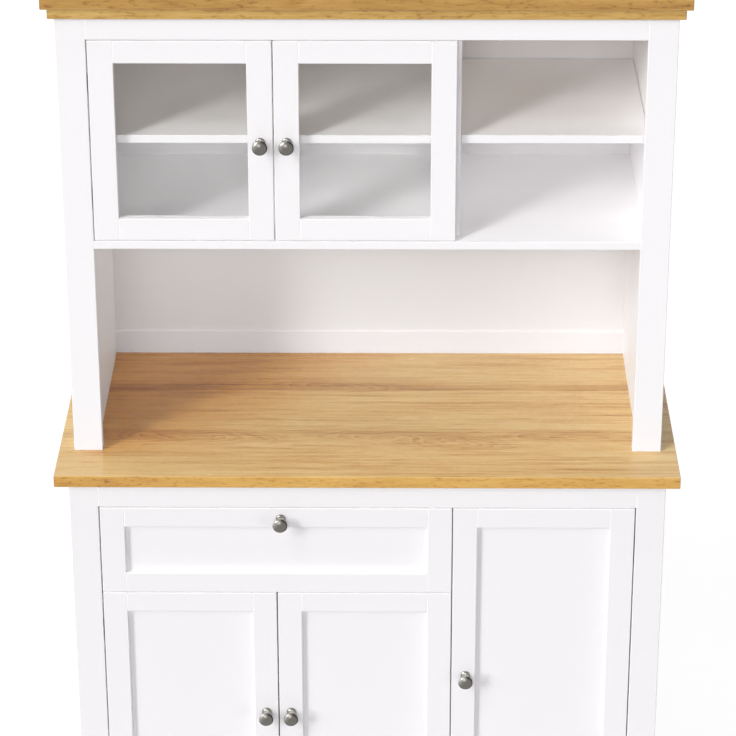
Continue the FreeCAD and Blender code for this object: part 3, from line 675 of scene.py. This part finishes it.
def screwTree():
    inputs = [("Points", "NodeSocketGeometry"), ("Screw", "NodeSocketObject"), ("Size", "NodeSocketFloat"),
              ("Seed", "NodeSocketInt"), ("Finish", "NodeSocketMaterial")]
    tree, given, result = newGroup("screwsOnPoints", "GeometryNodeTree", inputs,
                                   [("Screws", "NodeSocketGeometry")])
    aim = put(tree, "GeometryNodeInputNamedAttribute", {"Name": "aim"}, data_type="FLOAT_VECTOR").outputs[0]
    aligned = put(tree, "FunctionNodeAlignRotationToVector", {"Vector": aim}, axis="Z").outputs[0]
    spin = put(tree, "FunctionNodeRandomValue", {"Seed": given["Seed"]}, data_type="FLOAT")
    spin.inputs[3].default_value = math.pi
    turn = put(tree, "FunctionNodeAxisAngleToRotation", {"Angle": spin.outputs[1]}).outputs[0]
    turned = put(tree, "FunctionNodeRotateRotation", {0: aligned, 1: turn}, rotation_space="LOCAL")
    source = put(tree, "GeometryNodeObjectInfo", {"Object": given["Screw"]}).outputs["Geometry"]
    layout = {"Points": given["Points"], "Instance": source, "Rotation": turned.outputs[0],
              "Scale": given["Size"]}
    tree.links.new(realized(tree, layout, given["Finish"]), result["Screws"])
    return tree


def nailTree():
    inputs = [("Path", "NodeSocketGeometry"), ("Nail", "NodeSocketObject"), ("Spacing", "NodeSocketFloat"),
              ("Finish", "NodeSocketMaterial")]
    tree, given, result = newGroup("nailsAlongPath", "GeometryNodeTree", inputs,
                                   [("Nails", "NodeSocketGeometry")])
    curve = put(tree, "GeometryNodeMeshToCurve", {"Mesh": given["Path"]}).outputs[0]
    spacing = {"Curve": curve, "Length": given["Spacing"]}
    spaced = put(tree, "GeometryNodeResampleCurve", spacing, mode="LENGTH").outputs[0]
    source = put(tree, "GeometryNodeObjectInfo", {"Object": given["Nail"]}).outputs["Geometry"]
    layout = {"Points": spaced, "Instance": source}
    tree.links.new(realized(tree, layout, given["Finish"]), result["Nails"])
    return tree


def grow(name, mesh, tree, values):  # runs the tree on a mesh and keeps the result as a plain mesh
    seedling = newObject(name + "_points", mesh)
    modifier = seedling.modifiers.new("grow", "NODES")
    modifier.node_group = tree
    for label, identifier in socketIds(tree).items():
        if label in values:
            modifier[identifier] = values[label]
    grown = seedling.evaluated_get(bpy.context.evaluated_depsgraph_get())
    made = bpy.data.meshes.new_from_object(grown)
    made.name = name
    seedling.modifiers.clear()
    bpy.data.objects.remove(seedling)
    made.set_sharp_from_angle(angle=math.radians(meshing["sharpAngle"]))
    return newObject(name, made)


smallScrew = dict(headRadius=0.0031, headHeight=0.0012, shankRadius=0.0015, shankLength=0.004)
backNail = dict(headRadius=0.0024, headHeight=0.0007, sides=16, inset=0.006, middleInset=0.03, spacing=0.085,
                headShares=((1.0, 0.0), (1.0, 0.35), (0.86, 0.75), (0.5, 0.95)))  # of radius and height


def sourceObject(name, bm):
    thing = newObject(name, finishMesh(name, bm, finishes["plated_steel"]))
    thing.hide_render = True
    return thing


def screwSource():
    bm = bmesh.new()
    addScrew(bm, **smallScrew)
    return sourceObject("screwSource", bm)


def nailSource():  # a low domed head, seated on +Y
    bm = bmesh.new()
    radius, height = backNail["headRadius"], backNail["headHeight"]
    profile = [(radius * wide, height * up, 0.0) for wide, up in backNail["headShares"]]
    lathe(bm, [(0.0, 0.0, 0.0), *profile, (0.0, height, 0.0)], backNail["sides"])
    bmesh.ops.transform(bm, matrix=Matrix.Rotation(-math.pi / 2, 4, "X"), verts=bm.verts)
    return sourceObject("nailSource", bm)


screwsOnPoints = screwTree()
nailsAlongPath = nailTree()
screw = screwSource()
nail = nailSource()


def screwSet(name, body, places, seed):
    mesh = bpy.data.meshes.new(name + "_points")
    mesh.from_pydata([place for place, aim in places], [], [])
    aims = mesh.attributes.new("aim", "FLOAT_VECTOR", "POINT")
    for entry, (place, aim) in zip(aims.data, places):
        entry.vector = aim
    piece = grow(name, mesh, screwsOnPoints, {"Screw": screw, "Size": 1.0, "Seed": seed,
                                              "Finish": finishes["plated_steel"]})
    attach(piece, body)


# Hinge hardware, in metres from the door's hinged edge, its face and its ends
hinge = dict(endInset=0.07, seatDepth=0.0225, plateThickness=0.0025, plateScrews=(0.02, 0.0315),
             plateRise=0.0115, leafInset=0.0223, leafThickness=0.0016, leafRise=0.0115)
# The face that carries each door's hinges: a carcass node, and 1 for its high side in X or 0 for its low side
seats = {
    "left_glazed_door": ("hutch_left_side", 1), "right_glazed_door": ("hutch_divider", 0),
    "left_base_door": ("base_left_side", 1), "middle_base_door": ("base_divider", 0),
    "right_base_door": ("base_right_side", 0),
}
plateScrews = []
leafCount = 0
for seed, body in enumerate(doors, start=1):
    low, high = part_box(body + "_frame")
    seatNode, onHighSide = seats[body]
    way = 1.0 if onHighSide else -1.0
    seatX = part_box(seatNode)[onHighSide].x + way * hinge["plateThickness"]
    edgeX = low.x if onHighSide else high.x
    leafScrews = []
    for z in (low.z + hinge["endInset"], high.z - hinge["endInset"]):
        for rise in (-1, 1):
            for depth in hinge["plateScrews"]:
                y = low.y + hinge["seatDepth"] + depth
                plateScrews.append(((seatX, y, z + rise * hinge["plateRise"]), (way, 0.0, 0.0)))
            leafX = edgeX + way * hinge["leafInset"]
            leafY = high.y + hinge["leafThickness"]
            leafScrews.append(((leafX, leafY, z + rise * hinge["leafRise"]), (0.0, 1.0, 0.0)))
    leafCount += len(leafScrews)
    screwSet(body + "_hinge_screws", body, leafScrews, seed)
screwSet("hinge_plate_screws", "carcass", plateScrews, len(doors) + 1)
print("hinge screws:", len(plateScrews) + leafCount)

# Runner screws, seen in the hollow of the members on the drawer's sides
runner = dict(wall=0.002, firstShare=0.1, lastShare=0.9, count=4)


def runnerScrews():
    low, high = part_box("drawer_runner_members")
    sideLow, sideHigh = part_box("drawer_sides")
    z = (low.z + high.z) / 2
    places = []
    for i in range(runner["count"]):
        way = i / (runner["count"] - 1)
        share = runner["firstShare"] + (runner["lastShare"] - runner["firstShare"]) * way
        y = low.y + (high.y - low.y) * share
        places.append(((sideLow.x - runner["wall"], y, z), (-1.0, 0.0, 0.0)))
        places.append(((sideHigh.x + runner["wall"], y, z), (1.0, 0.0, 0.0)))
    screwSet("drawer_runner_screws", "drawer", places, len(doors) + 2)


runnerScrews()
print("runner screws:", 2 * runner["count"])


def backNails():
    points, edges = [], []
    for node, divider in (("hutch_back", "hutch_divider"), ("base_back", "base_divider")):
        low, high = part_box(node)
        inset = backNail["inset"]
        middle = sum(corner.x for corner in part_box(divider)) / 2
        start = len(points)
        left, right, under, top = low.x + inset, high.x - inset, low.z + inset, high.z - inset
        points += [(x, high.y, z) for x, z in ((left, under), (right, under), (right, top), (left, top))]
        edges += [(start + i, start + (i + 1) % 4) for i in range(4)]
        row = backNail["middleInset"]
        points += [(middle, high.y, low.z + row), (middle, high.y, high.z - row)]
        edges.append((start + 4, start + 5))
    mesh = bpy.data.meshes.new("back_nails_path")
    mesh.from_pydata(points, edges, [])
    piece = grow("back_nails", mesh, nailsAlongPath, {"Nail": nail, "Spacing": backNail["spacing"],
                                                      "Finish": finishes["plated_steel"]})
    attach(piece, "carcass")


backNails()
for source in (screw, nail):
    bpy.data.objects.remove(source)
print("back nails along two panels")


# Studio: pale floor, white backdrop, soft keys from the front left and fills from the front, right and back

floorPlane = dict(half=30.0, drop=0.0004, colour=(0.5, 0.5, 0.5), roughness=0.9,
                  seen=(0.3, 0.3, 0.3), glow=0.84)
backdrop = dict(ambient=0.0, shown=1.0)
# Azimuth to the left of straight ahead, elevation and width in degrees, and the level on a facing white card.
# A lamp that isn't mirrored stays out of reflections.
softLamps = {
    "faceFill": dict(azimuth=8.0, elevation=6.0, width=24.0, level=0.12),
    "lowFront": dict(azimuth=0.0, elevation=18.0, width=20.0, level=0.28, mirrored=False),
    "lowKey": dict(azimuth=40.0, elevation=18.0, width=12.0, level=0.3),
    "sideKey": dict(azimuth=58.0, elevation=18.0, width=20.0, level=0.12, mirrored=False),
    "midKey": dict(azimuth=40.0, elevation=30.0, width=14.0, level=0.285),
    "highKey": dict(azimuth=40.0, elevation=50.0, width=18.0, level=0.17),
    "rightFill": dict(azimuth=-45.0, elevation=6.0, width=20.0, level=0.155, mirrored=False),
    "rimLight": dict(azimuth=128.0, elevation=35.0, width=14.0, level=0.12),
    "backFill": dict(azimuth=180.0, elevation=6.0, width=30.0, level=0.3, mirrored=False),
    "overhead": dict(azimuth=0.0, elevation=84.0, width=20.0, level=0.22),
}


def showsBackdrop(tree):  # camera, mirror and see-through rays
    path = put(tree, "ShaderNodeLightPath").outputs
    seen = calc(tree, "MAXIMUM", path["Is Camera Ray"], path["Is Glossy Ray"])
    return calc(tree, "MAXIMUM", seen, path["Is Transmission Ray"])


def makeFloor():  # lit as a pale floor; seen as white where no shadow falls
    half = floorPlane["half"]
    corners = ((-half, -half), (half, -half), (half, half), (-half, half))
    mesh = bpy.data.meshes.new("floor")
    mesh.from_pydata([(x, y, -floorPlane["drop"]) for x, y in corners], [], [(0, 1, 2, 3)])
    material, tree, place, shader = newMaterial("paleFloor")
    shader.inputs["Base Color"].default_value = (*floorPlane["colour"], 1.0)
    shader.inputs["Roughness"].default_value = floorPlane["roughness"]
    shader.inputs["Specular IOR Level"].default_value = 0.0
    shadowed = put(tree, "ShaderNodeBsdfDiffuse", {"Color": (*floorPlane["seen"], 1.0)}).outputs[0]
    glow = put(tree, "ShaderNodeEmission", {"Strength": floorPlane["glow"]}).outputs[0]
    both = put(tree, "ShaderNodeAddShader", {0: shadowed, 1: glow}).outputs[0]
    mixed = put(tree, "ShaderNodeMixShader", {0: showsBackdrop(tree), 1: shader.outputs[0], 2: both})
    output = next(node for node in tree.nodes if node.type == "OUTPUT_MATERIAL")
    tree.links.new(mixed.outputs[0], output.inputs["Surface"])
    mesh.materials.append(material)
    newObject("floor", mesh)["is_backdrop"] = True


def makeBackdrop():
    world = bpy.data.worlds.new("whiteBackdrop")
    world.use_nodes = True
    tree = world.node_tree
    tree.nodes.clear()
    strength = remap(tree, showsBackdrop(tree), 0.0, 1.0, backdrop["ambient"], backdrop["shown"])
    shade = put(tree, "ShaderNodeBackground", {"Color": (1.0, 1.0, 1.0, 1.0), "Strength": strength})
    put(tree, "ShaderNodeOutputWorld", {"Surface": shade.outputs[0]})
    scene.world = world


def makeSoftLamp(name, values):
    azimuth, elevation = math.radians(values["azimuth"]), math.radians(values["elevation"])
    towards = Vector((-math.sin(azimuth) * math.cos(elevation), -math.cos(azimuth) * math.cos(elevation),
                      math.sin(elevation)))
    data = bpy.data.lights.new(name, "SUN")
    data.angle = math.radians(values["width"])
    data.energy = values["level"] * math.pi
    lamp = newObject(name, data)
    lamp.rotation_euler = towards.to_track_quat("Z", "Y").to_euler()
    lamp.visible_glossy = values.get("mirrored", True)


makeFloor()
makeBackdrop()
for name, values in softLamps.items():
    makeSoftLamp(name, values)
print("studio: floor, backdrop and", len(softLamps), "soft lamps")


# Camera, as fitted to the edges in the photograph

camera = dict(lens=149.29, sensorWidth=36.0, place=(0.04668, -4.54904, 3.06494),
              pitch=25.43, yaw=-0.59, roll=-0.11)


def makeCamera():
    pitch, yaw, roll = (math.radians(camera[key]) for key in ("pitch", "yaw", "roll"))
    forward = Vector((math.sin(yaw) * math.cos(pitch), math.cos(yaw) * math.cos(pitch), -math.sin(pitch)))
    level = Vector((math.cos(yaw), -math.sin(yaw), 0.0))
    upward = level.cross(forward)
    right = math.cos(roll) * level + math.sin(roll) * upward
    up = math.cos(roll) * upward - math.sin(roll) * level
    data = bpy.data.cameras.new("camera")
    data.sensor_width = camera["sensorWidth"]
    data.lens = camera["lens"]
    viewer = newObject("camera", data)
    turn = Matrix((right, up, -forward)).transposed().to_4x4()
    viewer.matrix_world = Matrix.Translation(camera["place"]) @ turn
    scene.camera = viewer


makeCamera()
low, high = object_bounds()
